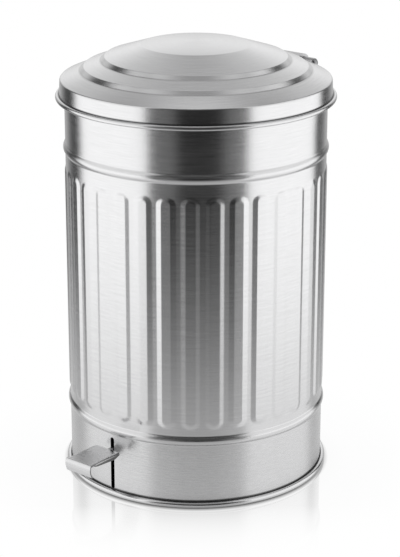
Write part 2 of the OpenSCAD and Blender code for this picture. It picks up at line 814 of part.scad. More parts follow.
// Bail: half a ring of wire that lies along the bucket's rim, its ends turned into the lugs
module bail_wire() color(bright)
    translate([0, 0, bail_z]) {
        rotate(180)
            rotate_extrude(angle = 180)
                translate([bail_ring_r, 0])
                    circle(bail_r, $fn = 32);
        for (s = [-1, 1])
            translate([s * bail_ring_r, 0, 0]) {
                sphere(r = bail_r);
                rotate([0, s * 90, 0])
                    cylinder(h = lug_r + lug_t / 2 - clear - bail_ring_r, r = bail_r);
            }
    }

module bail_grip() color(black)
    translate([0, 0, bail_z])
        rotate(-90 - 20)
            rotate_extrude(angle = 40)
                translate([bail_ring_r, 0])
                    difference() {
                        circle(grip_r);
                        circle(bail_r + seat / 2);
                    }

body_shell();
foot_trim();
floor_ring();
base_plate();
pivot_bracket();
bracket_screws();
pivot_pin();
pivot_clip();
rod_guides();
hinge_bracket();
hinge_rivets();
hinge_pin();
hinge_pin_caps();
inner_bucket();
lid_shell();
lid_hinge_leaf();
leaf_rivets();
lid_crank();
lid_rests();
pedal_lever();
pedal_plate();
lever_bush();
push_rod();
rod_washers();
bail_wire();
bail_grip();
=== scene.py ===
"""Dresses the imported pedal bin: its satin steel shells, rolled foot, pedal, hinge and bucket.

Lengths are in metres and angles in radians. The can's axis is Z, the pedal points to -Y and the
hinge to +Y. Every surface is worked out with numpy as a grid of points, one row after another.
"""

from __future__ import annotations

import logging
import math
from dataclasses import dataclass
from enum import Enum
from typing import Any, Iterable, Sequence

import bpy
import numpy as np
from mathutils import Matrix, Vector

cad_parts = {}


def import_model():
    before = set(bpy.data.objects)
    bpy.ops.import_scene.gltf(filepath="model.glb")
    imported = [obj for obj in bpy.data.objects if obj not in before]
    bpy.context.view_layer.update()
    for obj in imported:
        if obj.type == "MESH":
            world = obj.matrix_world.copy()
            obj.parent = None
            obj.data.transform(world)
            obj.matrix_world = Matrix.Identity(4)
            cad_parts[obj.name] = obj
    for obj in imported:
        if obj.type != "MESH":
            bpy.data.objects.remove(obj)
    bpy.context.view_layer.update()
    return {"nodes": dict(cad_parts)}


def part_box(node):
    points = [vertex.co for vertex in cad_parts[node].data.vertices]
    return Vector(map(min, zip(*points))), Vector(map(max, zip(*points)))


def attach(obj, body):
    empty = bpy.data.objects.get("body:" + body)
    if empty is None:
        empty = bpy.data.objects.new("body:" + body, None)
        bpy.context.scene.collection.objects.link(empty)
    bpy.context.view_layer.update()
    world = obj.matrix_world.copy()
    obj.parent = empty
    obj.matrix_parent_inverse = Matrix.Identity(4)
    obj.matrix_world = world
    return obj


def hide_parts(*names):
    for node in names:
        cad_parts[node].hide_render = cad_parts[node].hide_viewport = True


MM = 0.001
DECIMALS = 8  # of a metre, to which two points or values are the same
GROOVE_PAINTED_SHADE = (0.16, 0.16, 0.16)  # painted shade: the steel's colour deep in the groove above the foot's roll
EDGE_PAINTED_SHADE = (0.2, 0.2, 0.2)  # painted shade: the same in the roll's seam and on the pedal's thin sides
LOG = logging.getLogger("pedal_bin")
Colour = tuple[float, float, float]


class Sock:
    """A shader socket that takes part in sums, so that a pattern reads as a formula."""

    def __init__(self, shader: Shader, socket: bpy.types.NodeSocket) -> None:
        """Keeps the socket and the shader that new nodes go into.

        Args:
            shader: the material or world that the socket belongs to.
            socket: an output socket of one of its nodes.
        """
        self.shader = shader
        self.socket = socket

    def output(self, key: str | int) -> Sock:
        """Another output of the same node, by name or number."""
        return Sock(self.shader, self.socket.node.outputs[key])

    def math(self, operation: str, *others: Any, first: bool = True) -> Sock:
        """Adds one Math node.

        Args:
            operation: the Math node's operation.
            others: the other values or sockets, in order.
            first: whether this socket is the first value, or the last.
        Returns:
            The node's result.
        """
        values = (self, *others) if first else (*others, self)
        return self.shader.node("ShaderNodeMath", {"operation": operation}, *values)

    def __add__(self, other: Any) -> Sock:
        """This plus other."""
        return self.math("ADD", other)

    __radd__ = __add__

    def __mul__(self, other: Any) -> Sock:
        """This times other."""
        return self.math("MULTIPLY", other)

    __rmul__ = __mul__

    def __sub__(self, other: Any) -> Sock:
        """This less other."""
        return self.math("SUBTRACT", other)

    def __rsub__(self, other: Any) -> Sock:
        """Other less this."""
        return self.math("SUBTRACT", other, first=False)

    def __truediv__(self, other: Any) -> Sock:
        """This over other."""
        return self.math("DIVIDE", other)

    def __pow__(self, other: Any) -> Sock:
        """This to the power of other."""
        return self.math("POWER", other)

    def __abs__(self) -> Sock:
        """This without its sign."""
        return self.math("ABSOLUTE")

    def smooth(self, low: float, high: float) -> Sock:
        """A soft step from 0 at low to 1 at high, or the other way where low is the larger.

        Args:
            low: the value at which the step starts.
            high: the value at which it ends.
        Returns:
            The step, between 0 and 1.
        """
        ends = (min(low, high), max(low, high), 0.0, 1.0)
        up = self.shader.node("ShaderNodeMapRange", {"interpolation_type": "SMOOTHSTEP"}, self, *ends)
        return up if low < high else 1.0 - up


class Shader:
    """The node tree of a material or a world, and the one method that adds its nodes."""

    def __init__(self, tree: bpy.types.NodeTree) -> None:
        """Empties the tree.

        Args:
            tree: the node tree to fill.
        """
        self.tree = tree
        tree.nodes.clear()

    def node(
        self, kind: str, settings: dict[str, Any] | None = None, *values: Any, **named: Any
    ) -> Sock | None:
        """Adds a node, with its settings first and then the values or links of its sockets.

        Args:
            kind: the node's type.
            settings: the node's own settings.
            values: values or links for its first sockets, in order, with None to leave one alone.
            named: values or links for sockets by name, with an underscore for a space.
        Returns:
            The node's first output that is in use, or None where it has none.
        """
        made = self.tree.nodes.new(kind)
        for key, value in (settings or {}).items():
            setattr(made, key, value)
        sockets = [socket for socket in made.inputs if socket.enabled]
        for socket, value in zip(sockets, values):
            self.feed(socket, value)
        for key, value in named.items():
            name = key.replace("_", " ")
            self.feed(next(socket for socket in sockets if socket.name == name), value)
        shown = [socket for socket in made.outputs if socket.enabled]
        return Sock(self, shown[0]) if shown else None

    def feed(self, socket: bpy.types.NodeSocket, value: Any) -> None:
        """Links or sets one input.

        Args:
            socket: the input.
            value: a Sock to link, a number or a colour to set, or None.
        """
        if isinstance(value, Sock):
            self.tree.links.new(value.socket, socket)
        elif value is not None:
            socket.default_value = value

    def vector(self, x: Any, y: Any, z: Any) -> Sock:
        """A vector from three numbers or sockets."""
        return self.node("ShaderNodeCombineXYZ", None, x, y, z)

    def split(self, vector: Sock) -> tuple[Sock, Sock, Sock]:
        """A vector's three numbers."""
        x = self.node("ShaderNodeSeparateXYZ", None, vector)
        return x, x.output(1), x.output(2)

    def position(self) -> tuple[Sock, Sock, Sock]:
        """Object coordinates, one by one."""
        return self.split(self.node("ShaderNodeTexCoord").output("Object"))

    def seen(self) -> Sock:
        """1 for what the camera looks at directly, and 0 for what only lights or mirrors reach."""
        return self.node("ShaderNodeLightPath").output("Is Camera Ray")

    def noise(self, vector: Sock, scale: float, detail: float = 2.0, roughness: float = 0.5) -> Sock:
        """Noise between 0 and 1 at a vector.

        Args:
            vector: where to read the noise.
            scale: how many features a unit of the vector holds.
            detail: the number of finer layers.
            roughness: how strong the finer layers are.
        Returns:
            The noise's value.
        """
        return self.node(
            "ShaderNodeTexNoise", None, vector, Scale=scale, Detail=detail, Roughness=roughness
        )

    def tint(self, share: Sock, low: Any, high: Any) -> Sock:
        """A colour between two.

        Args:
            share: 0 for the first colour and 1 for the second.
            low: the first colour, as three numbers or a socket.
            high: the second colour.
        Returns:
            The mixed colour.
        """
        pair = [c if isinstance(c, Sock) else (*c, 1.0) for c in (low, high)]
        return self.node("ShaderNodeMix", {"data_type": "RGBA"}, share, *pair)

    def bump(self, height: Sock, distance: float) -> Sock:
        """The normal, bent by a relief.

        Args:
            height: the relief's pattern, between 0 and 1.
            distance: the height that 1 stands for, in metres.
        Returns:
            The bent normal.
        """
        return self.node("ShaderNodeBump", None, Strength=1.0, Distance=distance, Height=height)


def span(a: Sock, b: Sock) -> Sock:
    """The length of (a, b): the root of a^2 + b^2."""
    return (a * a + b * b) ** 0.5


class Grain(Enum):
    """Which way a steel surface was brushed."""

    ROUND = "round the can"
    RINGS = "in rings on the lid"
    ACROSS = "across, along X"
    NONE = "not brushed"


def new_material(name: str) -> tuple[bpy.types.Material, Shader]:
    """An empty material with nodes.

    Args:
        name: the material's name.
    Returns:
        The material and its shader.
    """
    material = bpy.data.materials.new(name)
    material.use_nodes = True
    return material, Shader(material.node_tree)


@dataclass(frozen=True)
class Scuffs:
    """Short marks that shoes leave on the wall below a height."""

    top: float  # the height, in the middle of a soft edge
    fade: float = 4.0 * MM  # half the height of that edge
    width: float = 0.9 * MM  # a mark's width
    slender: float = 9.0  # how many times longer than wide a mark is
    band: tuple[float, float] = (0.35, 0.65)  # the noise that becomes 0 and 1 in the marks' pattern
    streak: float = 0.04  # how much darker or lighter than the steel a mark is
    dull: float = 0.2  # how much rougher the band is


@dataclass(frozen=True)
class PaintedShadeCrease:
    """A corner that goes round the can's axis, with painted shade in it."""

    radius: float  # its distance from the axis
    height: float  # its height
    tone: float  # the share of the steel's own colour that the painted shade leaves
    # The shares of the painted shade's reach between which the dark ends
    fade: tuple[float, float] = (0.25, 0.85)


@dataclass(frozen=True)
class Steel:
    """Stainless or plated sheet: long fine scratches along the grain and a soft mottle."""

    name: str  # the material's name
    grain: Grain  # which way it was brushed
    colour: Colour = (0.66, 0.66, 0.665)  # its mean colour
    roughness: float = 0.24  # its mean roughness
    streak: float = 0.045  # how much darker or lighter than the mean a scratch is
    anisotropy: float = 0.0  # how far highlights are drawn out across the scratches
    relief: float = 14.0e-6  # the scratches' depth
    groove: float | None = None  # the height up to which painted shade darkens the wall behind the foot's roll
    seam: float | None = None  # the radius at which painted shade darkens the roll where it touches the wall
    # The distance from the middle beyond which painted shade darkens the pedal's thin sides
    flank: float | None = None
    scuffs: Scuffs | None = None  # the marks near the foot
    creases: tuple[PaintedShadeCrease, ...] = ()  # the corners with painted shade
    # The widths of the fine and the broad scratches
    widths: tuple[float, float] = (0.28 * MM, 1.3 * MM)
    fine_share: float = 0.4  # the fine scratches' share in the pattern
    slender: float = 26.0  # how many times longer than wide a scratch is
    band: tuple[float, float] = (0.32, 0.68)  # the noise that becomes 0 and 1 in the scratches' pattern
    painted_shade_reach: float = 2.0 * MM  # how far painted shade reaches out of a corner

    def scratches(self, shader: Shader, width: float, slender: float) -> Sock:
        """Noise drawn out along the grain: fine across it, long along it.

        Args:
            shader: the material's shader.
            width: the width of a scratch, in metres.
            slender: how many times longer than wide a scratch is.
        Returns:
            The scratches' pattern, between 0 and 1.
        """
        x, y, z = shader.position()
        fine, long = 1.0 / width, 1.0 / (width * slender)
        if self.grain is Grain.ROUND:
            place = shader.vector(x * long, y * long, z * fine)
        elif self.grain is Grain.RINGS:
            place = shader.vector(x * long, y * long, span(x, y) * fine)
        elif self.grain is Grain.ACROSS:
            place = shader.vector(x * long, y * fine, z * fine)
        else:
            place = shader.vector(x * fine, y * fine, z * fine)
        return shader.noise(place, scale=1.0, detail=3.0, roughness=0.6)

    def tones(self, spread: float) -> tuple[list[float], list[float]]:
        """The colour made darker and lighter by a share of itself."""
        darker = [c * (1.0 - spread) for c in self.colour]
        return darker, [min(c * (1.0 + spread), 1.0) for c in self.colour]

    def wear(self, shader: Shader, colour: Sock, rough: Sock) -> tuple[Sock, Sock]:
        """Puts the scuff marks over the scratches.

        Args:
            shader: the material's shader.
            colour: the colour without them.
            rough: the roughness without them.
        Returns:
            The colour and the roughness with them.
        """
        scuffs = self.scuffs
        _, _, z = shader.position()
        marks = self.scratches(shader, scuffs.width, scuffs.slender).smooth(*scuffs.band)
        worn = shader.tint(marks, *self.tones(scuffs.streak))
        below = (scuffs.top - z).smooth(-scuffs.fade, scuffs.fade)
        return shader.tint(below, colour, worn), rough * (1.0 + scuffs.dull * below)

    def paint_shade(self, shader: Shader, colour: Sock, mottle: Sock) -> Sock:
        """Paints shade into the corners, the groove, the seam and the pedal's sides, out to a reach
        that the mottle makes a little uneven.

        Args:
            shader: the material's shader.
            colour: the colour without them.
            mottle: the mottle, between 0 and 1.
        Returns:
            The colour with them.
        """
        x, y, z = shader.position()
        reach = self.painted_shade_reach * (0.8 + 0.4 * mottle)
        if self.groove is not None:
            above = (z - self.groove) / reach
            colour = shader.tint(above.smooth(0.3, 1.0), GROOVE_PAINTED_SHADE, colour)
        if self.seam is not None:
            out = (span(x, y) - self.seam) / reach
            colour = shader.tint(out.smooth(0.1, 0.9), EDGE_PAINTED_SHADE, colour)
        for crease in self.creases:
            away = span(span(x, y) - crease.radius, z - crease.height) / reach
            painted_dark = [c * crease.tone for c in self.colour]
            colour = shader.tint(away.smooth(*crease.fade), painted_dark, colour)
        if self.flank is not None:
            inside = self.flank - abs(x)
            colour = shader.tint(inside.smooth(0.0, 0.2 * MM), EDGE_PAINTED_SHADE, colour)
        return colour

    def build(self) -> bpy.types.Material:
        """Makes the material.

        Returns:
            The material.
        """
        material, shader = new_material(self.name)
        fine, broad = (self.scratches(shader, width, self.slender) for width in self.widths)
        place = shader.vector(*shader.position())
        mottle = shader.noise(place, scale=26.0, detail=3.0, roughness=0.55)
        lines = (fine * self.fine_share + broad * (1.0 - self.fine_share)).smooth(*self.band)
        colour = shader.tint(lines, *self.tones(self.streak))
        rough = self.roughness * (0.82 + 0.24 * lines + 0.14 * mottle)
        if self.scuffs:
            colour, rough = self.wear(shader, colour, rough)
        bsdf = shader.node(
            "ShaderNodeBsdfPrincipled",
            None,
            Base_Color=self.paint_shade(shader, colour, mottle),
            Metallic=1.0,
            Roughness=rough,
            Anisotropic=self.anisotropy,
            Anisotropic_Rotation=0.25,
            Normal=shader.bump(lines, self.relief),
        )
        shader.node("ShaderNodeOutputMaterial", None, bsdf)
        return material


@dataclass(frozen=True)
class Moulded:
    """Plastic or rubber: one colour with a fine moulded grain and a little dust in it."""

    name: str  # the material's name
    colour: Colour  # its colour without dust
    roughness: float = 0.5  # its mean roughness
    grain_size: float = 0.5 * MM  # the size of the moulded grain
    relief: float = 20.0e-6  # the grain's depth
    dust: float = 0.012  # how much dust lightens the colour
    uneven: float = 0.3  # how much the dust makes the roughness vary

    def build(self) -> bpy.types.Material:
        """Makes the material.

        Returns:
            The material.
        """
        material, shader = new_material(self.name)
        place = shader.vector(*shader.position())
        grain = shader.noise(place, scale=1.0 / self.grain_size, detail=2.0, roughness=0.6)
        cloud = shader.noise(place, scale=18.0, detail=4.0, roughness=0.6)
        dusty = [c + self.dust for c in self.colour]
        bsdf = shader.node(
            "ShaderNodeBsdfPrincipled",
            None,
            Base_Color=shader.tint(cloud, self.colour, dusty),
            Roughness=self.roughness * (1.0 - self.uneven / 2 + self.uneven * cloud),
            Normal=shader.bump(grain, self.relief),
        )
        shader.node("ShaderNodeOutputMaterial", None, bsdf)
        return material


@dataclass(frozen=True)
class Galvanised:
    """Zinc-coated sheet: large dull crystals that differ in tone and gloss."""

    name: str  # the material's name
    colour: Colour = (0.55, 0.56, 0.57)  # the lightest crystal's colour
    darkest: float = 0.8  # the darkest crystal's share of it
    crystal: float = 7.0 * MM  # a crystal's size
    mist: float = 0.3  # the share of the tone that a fine mist gives
    roughness: float = 0.34  # the roughness of the glossiest crystal
    dull: float = 0.14  # how much rougher the dullest one is
    relief: float = 8.0e-6  # the mist's depth

    def build(self) -> bpy.types.Material:
        """Makes the material.

        Returns:
            The material.
        """
        material, shader = new_material(self.name)
        place = shader.vector(*shader.position())
        cells = shader.node("ShaderNodeTexVoronoi", None, place, Scale=1.0 / self.crystal)
        tone = shader.node("ShaderNodeSeparateColor", None, cells.output("Color"))
        mist = shader.noise(place, scale=90.0, detail=3.0, roughness=0.6)
        low = [c * self.darkest for c in self.colour]
        bsdf = shader.node(
            "ShaderNodeBsdfPrincipled",
            None,
            Base_Color=shader.tint(tone * (1.0 - self.mist) + mist * self.mist, low, self.colour),
            Metallic=0.9,
            Roughness=self.roughness + tone * self.dull,
            Normal=shader.bump(mist, self.relief),
        )
        shader.node("ShaderNodeOutputMaterial", None, bsdf)
        return material


def soft_max(a: np.ndarray | float, b: np.ndarray | float, round_off: float) -> np.ndarray:
    """The larger of two, with its corner rounded: half of a + b + sqrt((a - b)^2 + k^2).

    Args:
        a: the first values.
        b: the second values.
        round_off: k, the size of the rounding.
    Returns:
        The rounded maximum.
    """
    return 0.5 * (a + b + np.sqrt((a - b) ** 2 + round_off**2))


def arc(centre: Sequence[float], radius: float, start: float, end: float, steps: int) -> np.ndarray:
    """Points on a circle: centre plus radius times (cos t, sin t), with t in degrees.

    Args:
        centre: the circle's centre.
        radius: its radius.
        start: the first angle.
        end: the last angle.
        steps: the number of points.
    Returns:
        An array of points.
    """
    t = np.radians(np.linspace(start, end, steps))
    return np.stack([centre[0] + radius * np.cos(t), centre[1] + radius * np.sin(t)], axis=1)


def rounded(corners: Sequence[Sequence[float]], radii: Sequence[float], steps: int = 7) -> np.ndarray:
    """A line through corners, each of which is an arc that touches both of its straights.

    The arc's centre lies on the bisector at radius / sin(half angle) from the corner.

    Args:
        corners: the line's corners, with its two ends.
        radii: the bend's radius at each corner between the ends.
        steps: the number of points on a bend.
    Returns:
        An array of points.
    """
    at = np.asarray(corners, float)
    parts = [at[:1]]
    for before, here, after, radius in zip(at[:-2], at[1:-1], at[2:], radii):
        u = (before - here) / np.linalg.norm(before - here)
        v = (after - here) / np.linalg.norm(after - here)
        half = math.acos(float(np.clip(u @ v, -1, 1))) / 2
        centre = here + (u + v) / np.linalg.norm(u + v) * radius / math.sin(half)
        first, last = here + u * radius / math.tan(half), here + v * radius / math.tan(half)
        a = math.degrees(math.atan2(*(first - centre)[::-1]))
        # The shorter way round, between -180 and 180 degrees
        turn = (math.degrees(math.atan2(*(last - centre)[::-1])) - a + 540.0) % 360.0 - 180.0
        parts.append(arc(centre, radius, a, a + turn, steps))
    parts.append(at[-1:])
    return np.concatenate(parts)


def sides(path: np.ndarray) -> np.ndarray:
    """Vectors to the right of a line, at each of its points, that reach 1 from both its pieces.

    Each is the mean of the two pieces' unit vectors, over its share along one of them.

    Args:
        path: the line's points.
    Returns:
        One vector for each point.
    """
    step = np.diff(path, axis=0)
    step /= np.linalg.norm(step, axis=1)[:, None]
    right = np.stack([step[:, 1], -step[:, 0]], axis=1)
    mean = np.concatenate([right[:1], (right[:-1] + right[1:]) / 2, right[-1:]])
    return mean / np.sum(mean * np.concatenate([right[:1], right[1:], right[-1:]]), axis=1)[:, None]


def between(*stretches: tuple[float, float, int]) -> np.ndarray:
    """Sorted values from several stretches, each with its own number of steps.

    Args:
        stretches: (first, last, count) of each stretch.
    Returns:
        The values, without repeats.
    """
    values = np.concatenate([np.linspace(a, b, n) for a, b, n in stretches])
    return np.unique(np.round(values, DECIMALS))


def volume_of(points: np.ndarray, faces: Sequence[Sequence[int]]) -> float:
    """The signed volume inside a closed mesh: a sixth of the sum of a . (b x c) over its triangles.

    Args:
        points: the mesh's points.
        faces: its faces.
    Returns:
        The volume, negative where the faces point inwards.
    """
    tris = np.array([(f[0], f[i], f[i + 1]) for f in faces for i in range(1, len(f) - 1)])
    a, b, c = points[tris[:, 0]], points[tris[:, 1]], points[tris[:, 2]]
    return float(np.einsum("ij,ij->i", a, np.cross(b, c)).sum() / 6)


def grid_faces(rows: int, columns: int, wrap_rows: bool, wrap_columns: bool) -> np.ndarray:
    """Four-sided faces of a grid of points numbered row by row.

    Args:
        rows: the number of rows.
        columns: the number of columns.
        wrap_rows: whether the last row joins the first.
        wrap_columns: whether the last column joins the first.
    Returns:
        One row of four indices for each face.
    """
    i = np.arange(rows if wrap_rows else rows - 1)
    j = np.arange(columns if wrap_columns else columns - 1)
    i, j = [k.ravel() for k in np.meshgrid(i, j, indexing="ij")]
    up, on = (i + 1) % rows, (j + 1) % columns
    return np.stack([i * columns + j, i * columns + on, up * columns + on, up * columns + j], axis=1)


def grid_mesh(
    name: str, points: np.ndarray, wrap_rows: bool = False, wrap_columns: bool = False
) -> bpy.types.Object:
    """An object from a grid of points. Points that fall together, as at a pole, become one.

    Args:
        name: the object's name.
        points: an array of rows by columns by 3.
        wrap_rows: whether the last row joins the first.
        wrap_columns: whether the last column joins the first.
    Returns:
        The object, linked to the scene.
    """
    rows, columns = points.shape[:2]
    flat = points.reshape(-1, 3)
    faces = grid_faces(rows, columns, wrap_rows, wrap_columns)
    _, first, same = np.unique(np.round(flat, DECIMALS), axis=0, return_index=True, return_inverse=True)
    faces = same.reshape(-1)[faces]
    flat = flat[first]
    kept = [list(dict.fromkeys(face)) for face in faces.tolist()]
    kept = [face for face in kept if len(face) > 2]
    if volume_of(flat, kept) < 0:
        kept = [face[::-1] for face in kept]
    mesh = bpy.data.meshes.new(name)
    mesh.from_pydata(flat.tolist(), [], kept)
    made = bpy.data.objects.new(name, mesh)
    bpy.context.scene.collection.objects.link(made)
    return made


def revolve(name: str, profile: np.ndarray, columns: int, closed: bool = True) -> bpy.types.Object:
    """A profile turned about Z: (r cos a, r sin a, z) for each point (r, z) and each angle a.

    Args:
        name: the object's name.
        profile: the profile's points.
        columns: the number of steps round the axis.
        closed: whether the profile's end joins its start.
    Returns:
        The object.
    """
    a = np.linspace(0, 2 * math.pi, columns, endpoint=False)
    r, z = profile[:, :1], profile[:, 1:]
    points = np.stack([r * np.cos(a), r * np.sin(a), z + 0 * a], axis=2)
    return grid_mesh(name, points, wrap_rows=closed, wrap_columns=True)


def apply_modifiers(made: bpy.types.Object) -> None:
    """Makes the object's modifiers part of its mesh.

    Args:
        made: the object.
    """
    evaluated = made.evaluated_get(bpy.context.evaluated_depsgraph_get())
    mesh = bpy.data.meshes.new_from_object(evaluated)
    made.modifiers.clear()
    made.data = mesh


def cut(made: bpy.types.Object, cutters: Iterable[bpy.types.Object]) -> None:
    """Takes closed shapes out of an object.

    Args:
        made: the object.
        cutters: the shapes, which are removed from the scene.
    """
    cutters = list(cutters)
    for cutter in cutters:
        modifier = made.modifiers.new("cut", "BOOLEAN")
        modifier.operation = "DIFFERENCE"
        modifier.solver = "EXACT"
        modifier.object = cutter
    apply_modifiers(made)
    for cutter in cutters:
        bpy.data.objects.remove(cutter)


def shade(made: bpy.types.Object, sharp_angle: float = 35.0) -> None:
    """Smooth shading, with the edges over an angle kept sharp.

    Args:
        made: the object.
        sharp_angle: the angle between faces, in degrees, from which an edge is sharp.
    """
    mesh = made.data
    mesh.shade_smooth()
    mesh.set_sharp_from_angle(angle=math.radians(sharp_angle))


def prism(outline: np.ndarray, low: float, high: float) -> np.ndarray:
    """An outline carried from one level to another, with ends that close on its middle.

    Args:
        outline: the outline's points (u, v).
        low: the first level.
        high: the last level.
    Returns:
        A grid of points (u, v, level), of four rows.
    """
    middle = (outline.min(axis=0) + outline.max(axis=0)) / 2
    tip = np.repeat(middle[None, :], len(outline), axis=0)
    rows = [(tip, low), (outline, low), (outline, high), (tip, high)]
    return np.array([np.column_stack([points, np.full(len(points), at)]) for points, at in rows])


def block(low: Sequence[float], high: Sequence[float]) -> bpy.types.Object:
    """A box as a cutter.

    Args:
        low: its lowest corner.
        high: its highest corner.
    Returns:
        The object.
    """
    (x0, y0, z0), (x1, y1, z1) = low, high
    outline = np.array([(x0, y0), (x1, y0), (x1, y1), (x0, y1)])
    return grid_mesh("cutter", prism(outline, z0, z1), wrap_columns=True)


def capsule(half: float, low: float, high: float, y0: float, y1: float) -> bpy.types.Object:
    """An upright slot's shape as a cutter: two half circles and their straights, drawn along Y.

    Args:
        half: half its width.
        low: its lowest point.
        high: its highest point.
        y0: where it starts along Y.
        y1: where it ends.
    Returns:
        The object.
    """
    top = arc((0, high - half), half, 0, 180, 17)
    bottom = arc((0, low + half), half, 180, 360, 17)
    points = prism(np.concatenate([top, bottom]), y0, y1)[:, :, [0, 2, 1]]
    return grid_mesh("cutter", points, wrap_columns=True)


def dress(made: bpy.types.Object, material: bpy.types.Material) -> None:
    """Gives every face of an object one material.

    Args:
        made: the object.
        material: the material.
    """
    made.data.materials.clear()
    made.data.materials.append(material)


def stand_for(made: bpy.types.Object, body: str, node: str) -> None:
    """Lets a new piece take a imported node's place.

    Args:
        made: the piece.
        body: the body it moves with.
        node: the node it replaces.
    """
    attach(made, body)
    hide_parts(node)
    LOG.info("%s: %d faces on %s", made.name, len(made.data.polygons), body)


@dataclass
class FlutedCan:
    """The can's wall with its beads, ribs, pedal slot and notch, and the roll round its foot."""

    wall_r: float = 138.0 * MM  # the wall's outer radius
    sheet: float = 0.8 * MM  # its thickness
    foot_z: float = 0.8 * MM  # its lowest point
    top_z: float = 412.5 * MM  # its highest point
    hem_r: float = 1.5 * MM  # the radius of the hem along its top
    bead_h: float = 9.8 * MM  # a bead's height
    bead_out: float = 2.2 * MM  # how far a bead stands out
    bead_z: tuple[float, float] = (75.0 * MM, 357.5 * MM)  # the middles of the two beads
    rib_count: int = 35  # the number of ribs
    # How far the space between the two front ribs is turned from -Y
    rib_turn: float = math.radians(1.44)
    rib_out: float = 1.0 * MM  # how far a rib's middle stands out
    # How far the round wall has fallen away from a rib's plane at the rib's foot
    rib_sag: float = 0.31 * MM
    crest_half: float = 4.85 * MM  # half the width of a rib's flat top
    foot_half: float = 9.9 * MM  # half the width of a rib's foot
    flank: float = math.radians(15.0)  # the slope of a rib's sides
    # The space between the ribs and the lower and the upper bead
    rib_gap: tuple[float, float] = (7.4 * MM, 13.4 * MM)
    crest_soft: float = 0.45 * MM  # how soft the edge of a rib's top is
    foot_soft: float = 0.1 * MM  # how soft the bend at its foot is
    bead_soft: float = 0.25 * MM  # how soft the bends beside a bead are
    roll_r: float = 3.05 * MM  # the radius of the foot's roll
    roll_out: float = 2.0 * MM  # how far outside the wall its middle lies
    roll_sink: float = 0.2 * MM  # how far below the wall's end it reaches
    # Half the width, the lowest and the highest point of the pedal's slot
    slot: tuple[float, float, float] = (2.5 * MM, 7.2 * MM, 66.0 * MM)
    # Half the width and the floor of the notch for the crank
    notch: tuple[float, float] = (7.0 * MM, 399.5 * MM)

    @classmethod
    def from_frame(cls) -> FlutedCan:
        """Reads the wall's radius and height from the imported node."""
        low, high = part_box("body_shell")
        return cls(wall_r=(high.x - low.x) / 2 - cls.bead_out, foot_z=low.z, top_z=high.z)

    @property
    def pitch(self) -> float:
        """The angle from one rib to the next."""
        return 2 * math.pi / self.rib_count

    @property
    def spine(self) -> tuple[float, float]:
        """The spine of a rib, about whose ends its round ends turn.

        Returns:
            The spine's lowest and highest point.
        """
        foot = self.crest_half + (self.rib_out + self.rib_sag) / math.tan(self.flank)
        low = self.bead_z[0] + self.bead_h / 2 + self.rib_gap[0] + foot
        high = self.bead_z[1] - self.bead_h / 2 - self.rib_gap[1] - foot
        return low, high

    @property
    def roll_top(self) -> float:
        """The highest point of the foot's roll."""
        return self.foot_z + 2 * self.roll_r - self.roll_sink

    def angles(self) -> np.ndarray:
        """Angles of the columns: for each rib the same steps, close where its flanks bend.

        Returns:
            The angles, once round the can.
        """
        edge, foot, bend = self.crest_half, self.foot_half, 0.9 * MM
        half = between(
            (0, edge - bend, 3),
            (edge - bend, edge + bend, 5),
            (edge + bend, foot - bend, 3),
            (foot - bend, foot + bend, 4),
            (foot + bend, self.pitch * self.wall_r / 2, 2),
        )
        steps = np.concatenate([-half[:0:-1], half[:-1]]) / self.wall_r
        first = -math.pi / 2 + self.rib_turn + self.pitch / 2
        return (first + self.pitch * np.arange(self.rib_count)[:, None] + steps[None, :]).ravel()

    def heights(self) -> np.ndarray:
        """Heights of the rows, close at the beads and at the ribs' round ends.

        Returns:
            The heights, from the foot up.
        """
        low, high = self.spine
        end, bead = 11.5 * MM, self.bead_h / 2 + 1.2 * MM
        return between(
            (self.foot_z, self.bead_z[0] - bead, 3),
            (self.bead_z[0] - bead, self.bead_z[0] + bead, 17),
            (low - end, low, 16),
            (low, high, 5),
            (high, high + end, 16),
            (self.bead_z[1] - bead, self.bead_z[1] + bead, 17),
            (self.bead_z[1] + bead, self.top_z - self.hem_r, 3),
        )

    def radius(self, a: np.ndarray, z: np.ndarray) -> np.ndarray:
        """The wall's radius at an angle and a height.

        A rib is a plane at wall_r + rib_out in front of its own middle. From crest_half outwards
        it falls at the flank's slope, by the distance d to the rib's spine, which is a straight
        piece of line, so that the ends come out round. A bead is an arc of a circle in (r, z).
        The wall is the rounded maximum of the three.

        Args:
            a: the angles.
            z: the heights.
        Returns:
            The radii.
        """
        local = (a + math.pi / 2 - self.rib_turn) % self.pitch - self.pitch / 2
        low, high = self.spine
        d = np.hypot(self.wall_r * np.sin(local), z - np.clip(z, low, high))
        fall = soft_max(d - self.crest_half, 0.0, self.crest_soft) * math.tan(self.flank)
        rib = (self.wall_r + self.rib_out - fall) / np.cos(local)
        wall = soft_max(self.wall_r, rib, self.foot_soft)
        arc_r = ((self.bead_h / 2) ** 2 + self.bead_out**2) / (2 * self.bead_out)
        for middle in self.bead_z:
            across = np.sqrt(np.maximum(arc_r**2 - (z - middle) ** 2, 0.0))
            bead = self.wall_r + self.bead_out - arc_r + across
            wall = soft_max(wall, bead, self.bead_soft)
        return wall

